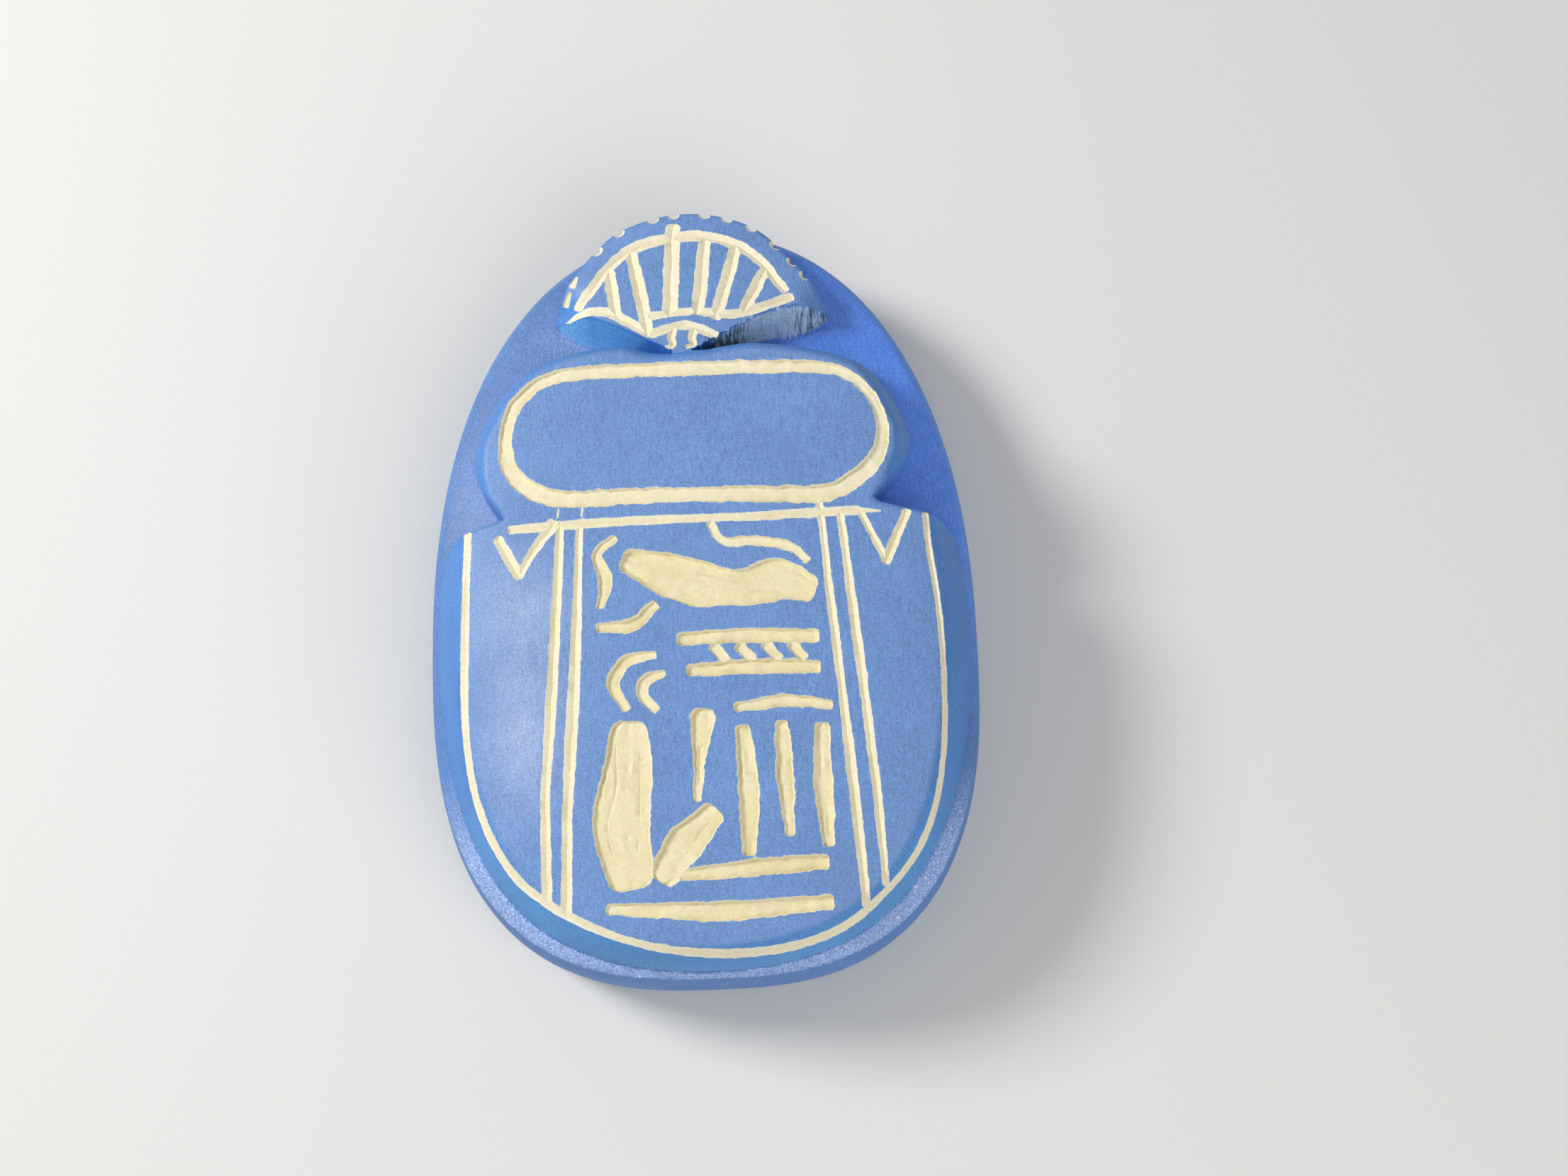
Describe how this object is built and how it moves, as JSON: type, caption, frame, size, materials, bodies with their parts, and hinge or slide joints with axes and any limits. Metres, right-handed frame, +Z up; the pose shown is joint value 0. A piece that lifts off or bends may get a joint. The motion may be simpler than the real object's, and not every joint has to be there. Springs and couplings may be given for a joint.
{
  "type": "scarab amulet",
  "caption": "Carved stone scarab with a blue coat, a cartouche, lined wing cases and cut marks on its domed back, and a flat underside.",
  "frame": {"origin": "middle of the flat underside", "axes": "+Y from tail to head, +Z up out of the back, +X to the beetle's right when its head points away"},
  "size_m": [0.0668, 0.0952, 0.025],
  "materials": {
    "coated_stone": "satin"
  },
  "bodies": {
    "root": {"scarab": "coated_stone"}
  },
  "joints": []
}
